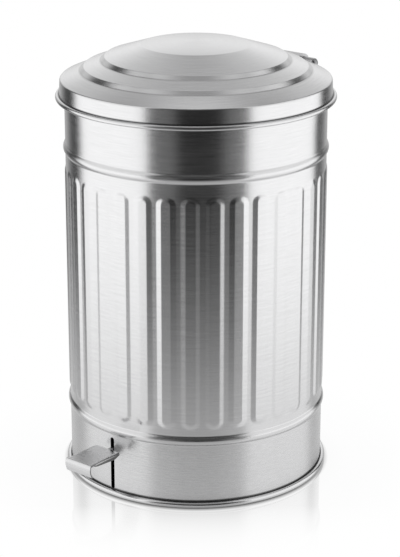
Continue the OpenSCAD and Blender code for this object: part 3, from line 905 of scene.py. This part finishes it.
    def shell(self) -> bpy.types.Object:
        """The wall: outside going up, over the hem, inside going down, with its two openings.

        Returns:
            The object.
        """
        a = self.angles()
        z = self.heights()
        outside = self.radius(a[None, :], z[:, None])
        hem = arc((self.wall_r - self.hem_r, self.top_z - self.hem_r), self.hem_r, 12, 235, 14)
        levels = (self.top_z - 2.2 * self.hem_r, self.bead_z[1], self.foot_z)
        inside = np.array([(self.wall_r - self.sheet, level) for level in levels])
        rest = np.concatenate([hem, inside])
        r = np.concatenate([outside, np.repeat(rest[:, :1], len(a), axis=1)])
        z = np.concatenate([z, rest[:, 1]])[:, None] + 0 * a
        points = np.stack([r * np.cos(a), r * np.sin(a), z], axis=2)
        made = grid_mesh("can_wall", points, wrap_rows=True, wrap_columns=True)
        margin = 10 * MM
        near, far = self.wall_r - margin, self.wall_r + margin
        half, low, high = self.slot
        slot = capsule(half, low, high, -far, -near)
        side, floor = self.notch
        notch = block((-side, near, floor), (side, far, self.top_z + margin))
        cut(made, [slot, notch])
        shade(made, sharp_angle=40.0)
        return made

    def foot_roll(self) -> bpy.types.Object:
        """The roll of sheet round the foot: a tube that is open where it meets the wall.

        The outer face ends 1 degree before it, and the inner face a lip of 12 degrees before that.

        Returns:
            The object.
        """
        middle = (self.wall_r + self.roll_out, self.roll_top - self.roll_r)
        end = math.degrees(math.acos(-self.roll_out / self.roll_r)) - 1.0
        lip = 12.0
        outer = arc(middle, self.roll_r, -end, end, 33)
        inner = arc(middle, self.roll_r - self.sheet, end - lip, lip - end, 17)
        inner[:, 0] = np.maximum(inner[:, 0], self.wall_r + 0.1 * MM)
        made = revolve("foot_roll", np.concatenate([outer, inner]), columns=360)
        shade(made)
        return made

    def build(self, finishes: Finishes) -> None:
        """Makes and dresses the can's own pieces.

        Args:
            finishes: the materials.
        """
        shell = self.shell()
        dress(shell, finishes.body)
        stand_for(shell, "can", "body_shell")
        roll = self.foot_roll()
        dress(roll, finishes.foot)
        stand_for(roll, "can", "foot_trim")


@dataclass
class SteppedLid:
    """The lid: a shallow dome, two steps, an outer slope, a skirt and a rolled rim."""

    skirt_r: float = 143.7 * MM  # the skirt's outer radius at its foot
    rim_z: float = 411.2 * MM  # the height of the middle of the rim's roll
    rim_r: float = 2.6 * MM  # the radius of the rim's roll
    rim_out: float = 1.2 * MM  # how far outside the skirt its middle lies
    sheet: float = 0.8 * MM  # the sheet's thickness
    skirt_h: float = 21.2 * MM  # the height from the rim's foot to the skirt's top
    skirt_lean: float = 1.2 * MM  # how far the skirt leans in
    # How far the outer slope runs in and rises
    outer_slope: tuple[float, float] = (20.8 * MM, 8.4 * MM)
    # The same for the slope between the steps
    middle_slope: tuple[float, float] = (17.5 * MM, 5.9 * MM)
    inner_slope: tuple[float, float] = (38.6 * MM, 12.2 * MM)  # the same for the slope up to the dome
    step: tuple[float, float] = (4.3 * MM, 4.2 * MM)  # the same for each step
    dome_rise: float = 4.1 * MM  # how far the dome rises in its middle
    # The bends' radii, from the dome's edge out to the skirt's top
    bends: tuple[float, ...] = (5.0 * MM, 1.1 * MM, 1.9 * MM, 1.1 * MM, 1.9 * MM, 2.2 * MM)
    # Half the width of the crank's slit, and its top above the middle of the rim's roll
    slit: tuple[float, float] = (2.3 * MM, 14.8 * MM)

    @classmethod
    def from_frame(cls) -> SteppedLid:
        """Reads the rim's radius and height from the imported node."""
        low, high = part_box("lid_shell")
        return cls(
            skirt_r=(high.x - low.x) / 2 - cls.rim_r - cls.rim_out, rim_z=low.z + cls.rim_r
        )

    def corners(self) -> list[np.ndarray]:
        """The outer face's corners, from the skirt's top to the dome's edge.

        Returns:
            Each corner's (r, z).
        """
        made = [np.array([self.skirt_r - self.skirt_lean, self.rim_z - self.rim_r + self.skirt_h])]
        slopes = (self.outer_slope, self.step, self.middle_slope, self.step, self.inner_slope)
        for run, rise in slopes:
            made.append(made[-1] + np.array([-run, rise]))
        return made

    def rim_crease(self) -> tuple[PaintedShadeCrease, ...]:
        """The corner between the skirt and the rim's roll, with painted shade in it."""
        return (PaintedShadeCrease(self.skirt_r + 0.2 * MM, self.rim_z + 2.7 * MM, tone=0.28),)

    def step_creases(self) -> tuple[PaintedShadeCrease, ...]:
        """The corners at the feet of the two steps, with a lighter painted shade."""
        feet = self.corners()[1:4:2]
        return tuple(PaintedShadeCrease(r + 0.3 * MM, z - 0.1 * MM, tone=0.83) for r, z in feet)

    def outer_line(self) -> np.ndarray:
        """The lid's outer face, from the middle of the top to the top of the rim.

        The dome is edge + rise * (1 - r^2), with r from 0 in the middle to 1 at its edge, and the
        rest goes through the corners, each with its own bend.

        Returns:
            The line's points (r, z).
        """
        corners = self.corners()[::-1]
        edge_r, edge_z = corners[0]
        r = np.linspace(0, 0.9, 24)
        dome = np.stack([edge_r * r, edge_z + self.dome_rise * (1 - r**2)], axis=1)
        foot = [self.skirt_r, self.rim_z + 2.0 * MM]
        line = rounded([dome[-1], *corners, foot], self.bends, 9)
        return np.concatenate([dome[:-1], line])

    def shell(self) -> bpy.types.Object:
        """The lid: outer face, round the rim's roll, and back under the sheet, less the slit.

        Returns:
            The object.
        """
        outer = self.outer_line()
        inner = (outer + self.sheet * sides(outer))[::-1]
        inner[:, 0] = np.maximum(inner[:, 0], 0.0)
        inner[-1, 0] = 0.0
        rim = arc((self.skirt_r + self.rim_out, self.rim_z), self.rim_r, 128, -212, 41)
        profile = np.concatenate([outer[:-1], rim, inner[1:]])
        made = revolve("lid_dome", profile, columns=320, closed=False)
        half, top = self.slit
        low = (-half, self.skirt_r - 6 * MM, self.rim_z - 10 * MM)
        high = (half, self.skirt_r + 14 * MM, self.rim_z + top)
        cut(made, [block(low, high)])
        shade(made)
        return made

    def build(self, finishes: Finishes) -> None:
        """Makes and dresses the lid, with the skirt's own finish outside the top's edge.

        Args:
            finishes: the materials.
        """
        made = self.shell()
        dress(made, finishes.lid)
        made.data.materials.append(finishes.skirt)
        edge = self.skirt_r - self.skirt_lean - 1.0 * MM
        centres = np.zeros(len(made.data.polygons) * 3)
        made.data.polygons.foreach_get("center", centres)
        centres = centres.reshape(-1, 3)
        upright = np.hypot(centres[:, 0], centres[:, 1]) > edge
        made.data.polygons.foreach_set("material_index", upright.astype(np.int32))
        stand_for(made, "lid", "lid_shell")


@dataclass
class PedalPlate:
    """The pedal's plate: flat, with a lip that curls back under and two tapered side flanges."""

    half: float = 17.35 * MM  # half its width
    back: float = -146.0 * MM  # the y of its back edge
    length: float = 44.0 * MM  # the flat's length, towards -Y
    top: float = 56.0 * MM  # its height
    sheet: float = 1.2 * MM  # its thickness
    lip_drop: float = 14.8 * MM  # how far the lip reaches down
    lip_swell: float = 1.6 * MM  # how far the lip swells forwards
    lip_bend: float = 1.3 * MM  # the radius of the bend between the flat and the lip
    curl_r: float = 3.2 * MM  # the radius of the lip's curl
    corner_r: float = 5.0 * MM  # the radius of the curl's two corners
    # The flanges' depth at the front and at the back
    flange: tuple[float, float] = (0.6 * MM, 3.3 * MM)
    flange_end: float = 4.0 * MM  # how far behind the lip the flanges have run out
    flange_fade: float = 6.0 * MM  # the length over which they run out
    flange_slant: float = 7.5 * MM  # the length of their slant at the back
    fold_r: float = 2.4 * MM  # the radius of the fold between the flat and a flange

    @classmethod
    def from_frame(cls) -> PedalPlate:
        """Reads the plate's width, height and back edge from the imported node."""
        low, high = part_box("pedal_plate")
        return cls(half=(high.x - low.x) / 2, back=high.y, top=high.z)

    def path(self) -> tuple[np.ndarray, np.ndarray]:
        """The plate's upper face along its middle.

        It runs flat from the back, over a bend, down the lip, which is an arc as high as the lip
        and as deep as its swell, and round the curl.

        Returns:
            The points (y, z), and at each the way into the sheet.
        """
        front = self.back - self.length
        foot = self.top - self.lip_drop + self.curl_r
        chord = (self.top - foot) / 2
        swell_r = (chord**2 + self.lip_swell**2) / (2 * self.lip_swell)
        spread = math.degrees(math.asin(chord / swell_r))
        middle = (front + swell_r - self.lip_swell, foot + chord)
        lip = arc(middle, swell_r, 180 - spread, 180 + spread, 12)
        curl = arc((front + self.curl_r, foot), self.curl_r, 192, 300, 12)
        corner = rounded([[self.back, self.top], [front, self.top], lip[1]], [self.lip_bend], 8)
        y = np.linspace(self.back, front + 3 * MM, 12)[1:]
        flat = np.stack([y, np.full(len(y), self.top)], axis=1)
        line = np.concatenate([corner[:1], flat, corner[1:], lip[2:-1], curl])
        return line, -sides(line)

    def flange_depth(self, run: np.ndarray) -> np.ndarray:
        """How deep the flanges are, by the distance along the path from the back.

        They taper from the back to the front, run out before the lip and have a slanted rear.

        Args:
            run: the distances.
        Returns:
            The depths.
        """
        front, rear = self.flange
        depth = rear + (front - rear) * np.clip(run / self.length, 0, 1)
        depth *= np.clip((self.length - self.flange_end - run) / self.flange_fade, 0, 1)
        return depth * np.clip(run / self.flange_slant, 0.05, 1)

    def surface(self) -> np.ndarray:
        """The upper face: each point of the path drawn across X and folded down at both edges.

        Across, q runs from 0 in the middle to 1 where the fold starts and 2 at the edge. Beyond 1
        it goes a quarter round the fold and then straight down the flange, or on flat where
        there is no flange. At the curl's end the width follows a circle round each corner.

        Returns:
            A grid of points, with a row for each point of the path.
        """
        line, down = self.path()
        run = np.concatenate([[0], np.cumsum(np.linalg.norm(np.diff(line, axis=0), axis=1))])
        depth = self.flange_depth(run)[:, None]
        folded = depth > 0
        into_corner = np.maximum(self.corner_r - (run[-1] - run), 0)
        narrow = self.corner_r - np.sqrt(np.maximum(self.corner_r**2 - into_corner**2, 0))
        flat = (self.half - narrow - self.fold_r)[:, None]
        fold = self.fold_r * math.pi / 2
        q = np.concatenate([np.linspace(0, 0.86, 9), np.linspace(0.9, 2.0, 16)])
        extra = np.clip(q - 1, 0, 1) * np.where(folded, fold + depth, self.fold_r)
        bent = np.clip(extra / self.fold_r, 0, math.pi / 2) * folded
        x = np.clip(q, 0, 1) * flat + np.where(folded, self.fold_r * np.sin(bent), extra)
        drop = self.fold_r * (1 - np.cos(bent)) + np.maximum(extra - fold, 0) * folded
        y = line[:, :1] + drop * down[:, :1]
        z = line[:, 1:] + drop * down[:, 1:]
        right = np.stack([x, y, z], axis=2)
        left = right[:, :0:-1] * np.array([-1, 1, 1])
        return np.concatenate([left, right], axis=1)

    def plate(self) -> bpy.types.Object:
        """The plate: its upper face, made a sheet with soft edges.

        Returns:
            The object.
        """
        made = grid_mesh("pedal_tread", self.surface())
        if sum(face.normal.z * face.area for face in made.data.polygons) < 0:
            made.data.flip_normals()
        wall = made.modifiers.new("sheet", "SOLIDIFY")
        wall.thickness = self.sheet
        wall.offset = -1.0
        soft = made.modifiers.new("edge", "BEVEL")
        soft.width = 0.3 * MM
        soft.segments = 2
        soft.limit_method = "ANGLE"
        apply_modifiers(made)
        shade(made)
        return made

    def build(self, finishes: Finishes) -> None:
        """Makes and dresses the pedal's plate.

        Args:
            finishes: the materials.
        """
        made = self.plate()
        dress(made, finishes.pedal)
        stand_for(made, "pedal", "pedal_plate")


@dataclass(frozen=True)
class Finishes:
    """The materials, each made once."""

    body: bpy.types.Material
    skirt: bpy.types.Material
    lid: bpy.types.Material
    foot: bpy.types.Material
    pedal: bpy.types.Material
    bracket: bpy.types.Material
    caps: bpy.types.Material
    pins: bpy.types.Material
    base: bpy.types.Material
    foot_ring: bpy.types.Material
    rubber: bpy.types.Material
    bucket: bpy.types.Material
    nylon: bpy.types.Material

    @classmethod
    def fitted(cls, can: FlutedCan, lid: SteppedLid, pedal: PedalPlate) -> Finishes:
        """Makes the materials, with painted shade in the corners, seams and sides where the pieces have
        them.

        Args:
            can: the can, for its foot band and the roll under it.
            lid: the lid, for its creases.
            pedal: the pedal's plate, for its sides.
        Returns:
            The materials.
        """
        band_top = can.bead_z[0] - can.bead_h / 2
        made = {
            "body": Steel(
                "satin_body",
                Grain.ROUND,
                roughness=0.23,
                anisotropy=0.35,
                # Painted shade on the wall just above the foot's roll
                groove=can.roll_top + 0.5 * MM,
                scuffs=Scuffs(top=band_top - 1.1 * MM),
            ),
            # Painted shade in the corner between the skirt and the rim's roll
            "skirt": Steel(
                "satin_skirt", Grain.ROUND, roughness=0.22, anisotropy=0.4, creases=lid.rim_crease()
            ),
            # Painted shade at the feet of the lid's steps
            "lid": Steel(
                "satin_lid", Grain.RINGS, roughness=0.2, anisotropy=0.5, creases=lid.step_creases()
            ),
            # Painted shade on the roll where it meets the wall
            "foot": Steel(
                "bright_roll", Grain.ROUND, (0.72, 0.72, 0.725), 0.16, 0.02, seam=can.wall_r
            ),
            # Painted shade on the pedal's thin sides
            "pedal": Steel(
                "satin_pedal", Grain.ACROSS, roughness=0.3, flank=pedal.half - 0.05 * MM
            ),
            # Darker than the body's steel: partly the plain steel's tone, partly painted shade for the
            # hinge bracket seen in shadow behind the lid
            "bracket": Steel("pressed_steel", Grain.NONE, (0.46, 0.46, 0.465), 0.36, 0.08),
            "caps": Steel("dark_cap", Grain.NONE, (0.3, 0.3, 0.305), 0.34, 0.08),
            "pins": Steel("plated_pin", Grain.NONE, (0.7, 0.7, 0.7), 0.2, 0.03),
            "base": Galvanised("zinc_sheet"),
            "foot_ring": Moulded("black_ring", (0.02, 0.02, 0.02), 0.55),
            "rubber": Moulded("black_rubber", (0.025, 0.025, 0.025), 0.7),
            "bucket": Moulded("bucket_plastic", (0.035, 0.035, 0.038), 0.42),
            "nylon": Moulded("nylon", (0.72, 0.71, 0.66), 0.4),
        }
        return cls(**{place: finish.build() for place, finish in made.items()})

    def dress_nodes(self, nodes: dict[str, bpy.types.Object]) -> None:
        """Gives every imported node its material.

        Args:
            nodes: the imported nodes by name.
        """
        by_node = {
            "body_shell": self.body,
            "foot_trim": self.foot,
            "floor_ring": self.foot_ring,
            "base_plate": self.base,
            "pivot_bracket": self.bracket,
            "bracket_screws": self.pins,
            "pivot_pin": self.pins,
            "pivot_clip": self.bracket,
            "rod_guides": self.bracket,
            "hinge_bracket": self.bracket,
            "hinge_rivets": self.pins,
            "hinge_pin": self.pins,
            "hinge_pin_caps": self.caps,
            "inner_bucket": self.bucket,
            "lid_shell": self.lid,
            "lid_hinge_leaf": self.bracket,
            "leaf_rivets": self.pins,
            "lid_crank": self.bracket,
            "lid_rests": self.rubber,
            "pedal_lever": self.bracket,
            "pedal_plate": self.pedal,
            "lever_bush": self.nylon,
            "push_rod": self.pins,
            "rod_washers": self.bracket,
            "bail_wire": self.pins,
            "bail_grip": self.bucket,
        }
        for name, node in nodes.items():
            dress(node, by_node[name])


@dataclass(frozen=True)
class Panel:
    """A soft light wall of the studio, as a patch of directions seen from the bin, in degrees."""

    azimuth: float  # its middle, from the camera's side and positive to the camera's right
    half_width: float  # half its width
    low: float  # its lower edge
    high: float  # its upper edge
    light: float  # how bright it is
    # Half the width of its soft edges at its first and at its last azimuth
    edges: tuple[float, float] = (8.0, 8.0)
    fade: float = 8.0  # half the height of its soft edges below and above


@dataclass(frozen=True)
class WhiteFloor:
    """The studio's floor."""

    half: float = 30.0  # half its width
    foot_r: float = 0.138  # the radius of the bin's foot
    reach: float = 0.54  # how far from the foot the steel still sees the floor's own light
    light: float = 0.8  # how bright that light is
    share: float = 0.72  # how much of what lies behind the floor it covers by the foot
    # How far the close shade under the bin and the wide one round it reach
    shade_reach: tuple[float, float] = (0.005, 0.03)
    shade: tuple[float, float] = (0.9, 0.08)  # how much of the white each of the two takes away
    lit_shade: float = 0.8  # how much of the floor's own light the wide one takes away
    image_tint: float = 0.97  # the mirror image's brightness
    image_blur: float = 0.04  # how blurred it is
    image_from: float = 0.147  # the distance towards the camera at which image_share of it shows
    image_fade: float = 0.049  # the distance over which it fades from there
    image_share: float = 0.26  # the share that shows there
    image_most: float = 0.34  # the largest share that shows
    image_reach: float = 0.15  # how far from the foot it ends

    def open_share(self, shader: Shader, reach: float) -> Sock:
        """How open a point is to its surroundings within a distance, from 0 to 1."""
        return shader.node("ShaderNodeAmbientOcclusion", {"samples": 12}, Distance=reach).output("AO")

    def material(self, azimuth: float) -> bpy.types.Material:
        """White with the bin's soft shadow and faint mirror image, as the camera sees it.

        In the steel it is bright by the bin and fades as share * exp(-(d / reach)^2) with the
        distance d, and the light behind it shows for the rest.

        Args:
            azimuth: the camera's azimuth, in radians.
        Returns:
            The material.
        """
        made, shader = new_material("studio_floor")
        white = (1.0, 1.0, 1.0, 1.0)
        x, y, _ = shader.position()
        far = (span(x, y) - self.foot_r).math("MAXIMUM", 0.0)
        close, wide = (self.open_share(shader, reach) for reach in self.shade_reach)
        shaded = [1.0 - deep + deep * free for deep, free in zip(self.shade, (close, wide))]
        ground = shader.node("ShaderNodeEmission", None, white, shaded[0] * shaded[1])
        tint = (self.image_tint, self.image_tint, self.image_tint, 1.0)
        mirror = shader.node("ShaderNodeBsdfGlossy", None, tint, self.image_blur)
        ahead = x * math.sin(azimuth) - y * math.cos(azimuth)
        image = ((self.image_from - ahead) / self.image_fade).math("EXPONENT") * self.image_share
        image = image.math("MINIMUM", self.image_most) * far.smooth(self.image_reach, 0.0)
        shown = shader.node("ShaderNodeMixShader", None, image, ground, mirror)
        light = self.light * (1.0 - self.lit_shade + self.lit_shade * wide)
        lit = shader.node("ShaderNodeEmission", None, white, light)
        clear = shader.node("ShaderNodeBsdfTransparent")
        near = (far * far * (-1.0 / self.reach**2)).math("EXPONENT") * self.share
        bounce = shader.node("ShaderNodeMixShader", None, near, clear, lit)
        both = shader.node("ShaderNodeMixShader", None, shader.seen(), bounce, shown)
        shader.node("ShaderNodeOutputMaterial", None, both)
        return made

    def build(self, azimuth: float) -> None:
        """Makes the floor as part of the stage.

        Args:
            azimuth: the camera's azimuth, in radians.
        """
        ends = (-self.half, self.half)
        made = grid_mesh("floor", np.array([[(x, y, 0.0) for x in ends] for y in ends]))
        dress(made, self.material(azimuth))


@dataclass
class Studio:
    """Light, floor and camera."""

    azimuth: float = 39.8  # the camera's azimuth from -Y towards +X, in degrees
    distance: float = 1.9463  # its distance from the can's axis
    height: float = 0.8769  # its height
    tilt: float = 19.0  # how far it looks down, in degrees
    lens: float = 122.86  # its focal length, in millimetres
    shift: tuple[float, float] = (0.0071, 0.0)  # its lens shift, as a share of the picture
    ambient: float = 0.02  # the light between the panels
    floor: WhiteFloor = WhiteFloor()  # the floor
    # The light walls
    panels: tuple[Panel, ...] = (
        # The two side walls, and more light on their lower parts
        Panel(85.5, 40.5, -60.0, 60.0, 1.05, (2.5, 5.0), 25.0),
        Panel(-81.0, 39.0, -60.0, 60.0, 1.05, (6.0, 2.5), 25.0),
        Panel(85.5, 40.5, -60.0, 5.0, 0.3, (2.5, 5.0)),
        Panel(-81.0, 39.0, -60.0, 5.0, 0.3, (6.0, 2.5)),
        # Two dim strips between the side walls and the dark front
        Panel(-29.0, 12.0, -60.0, 20.0, 0.14, (4.0, 4.0)),
        Panel(34.0, 10.0, -60.0, 20.0, 0.17, (6.0, 4.0)),
        # The wall behind the bin, which the lid's top mirrors
        Panel(180.0, 33.0, -60.0, 90.0, 0.5, (16.0, 16.0), 3.0),
        Panel(180.0, 18.0, -4.0, 30.0, 0.42, (10.0, 10.0), 14.0),
        Panel(180.0, 5.0, 14.0, 36.0, 0.14, (4.0, 4.0), 5.0),
        # Both ends of that wall, and a narrow light in each for the lid's steps
        Panel(156.0, 16.0, 5.0, 50.0, 0.18, (5.0, 8.0)),
        Panel(-156.0, 16.0, 5.0, 50.0, 0.18, (8.0, 5.0)),
        Panel(149.0, 5.0, 6.0, 40.0, 0.28, (4.0, 4.0), 5.0),
        Panel(-146.0, 7.0, 6.0, 40.0, 0.28, (4.0, 4.0), 5.0),
        # The ceiling, and a faint light above the camera
        Panel(0.0, 200.0, 61.0, 95.0, 0.4, fade=6.0),
        Panel(0.0, 40.0, 10.0, 58.0, 0.05, (14.0, 14.0)),
    )

    def world(self) -> None:
        """Sums the panels over the direction's azimuth and elevation. The camera sees plain white."""
        world = bpy.data.worlds.new("studio")
        bpy.context.scene.world = world
        world.use_nodes = True
        shader = Shader(world.node_tree)
        x, y, z = shader.split(shader.node("ShaderNodeTexCoord"))
        a = math.radians(self.azimuth)
        towards = x * math.sin(a) - y * math.cos(a)
        aside = x * math.cos(a) + y * math.sin(a)
        turn = aside.math("ARCTAN2", towards) * math.degrees(1.0)
        rise = z.math("ARCSINE") * math.degrees(1.0)
        total = self.ambient
        for panel in self.panels:
            off = (turn - panel.azimuth).math("WRAP", 180.0, -180.0)
            first, last = panel.edges
            wide = off.smooth(-panel.half_width - first, -panel.half_width + first)
            wide = wide * off.smooth(panel.half_width + last, panel.half_width - last)
            tall = rise.smooth(panel.low - panel.fade, panel.low + panel.fade)
            tall = tall * rise.smooth(panel.high + panel.fade, panel.high - panel.fade)
            total = total + wide * tall * panel.light
        seen = shader.seen()
        strength = seen + (1.0 - seen) * total
        light = shader.node("ShaderNodeBackground", None, (1.0, 1.0, 1.0, 1.0), strength)
        shader.node("ShaderNodeOutputWorld", None, light)
        world.cycles.sampling_method = "MANUAL"
        world.cycles.sample_map_resolution = 1024

    def camera(self) -> None:
        """The camera at the photograph's angle, aimed at the can's axis."""
        data = bpy.data.cameras.new("camera")
        data.lens = self.lens
        data.sensor_width = 36.0
        data.shift_x, data.shift_y = self.shift
        data.clip_end = 100.0
        made = bpy.data.objects.new("camera", data)
        bpy.context.scene.collection.objects.link(made)
        a, t = math.radians(self.azimuth), math.radians(self.tilt)
        made.location = (math.sin(a) * self.distance, -math.cos(a) * self.distance, self.height)
        aim = Vector((-math.sin(a) * math.cos(t), math.cos(a) * math.cos(t), -math.sin(t)))
        made.rotation_euler = aim.to_track_quat("-Z", "Y").to_euler()
        bpy.context.scene.camera = made

    def build(self) -> None:
        """Sets the whole stage."""
        bpy.context.scene.view_settings.view_transform = "Standard"
        self.world()
        self.floor.build(math.radians(self.azimuth))
        self.camera()


def main() -> None:
    """Builds the bin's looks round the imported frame, in order."""
    logging.basicConfig(level=logging.INFO, format="%(name)s: %(message)s")
    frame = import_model()
    can = FlutedCan.from_frame()
    lid = SteppedLid.from_frame()
    pedal = PedalPlate.from_frame()
    finishes = Finishes.fitted(can, lid, pedal)
    finishes.dress_nodes(frame["nodes"])
    Studio().build()
    for assembly in (can, lid, pedal):
        assembly.build(finishes)


if __name__ == "__main__":
    main()
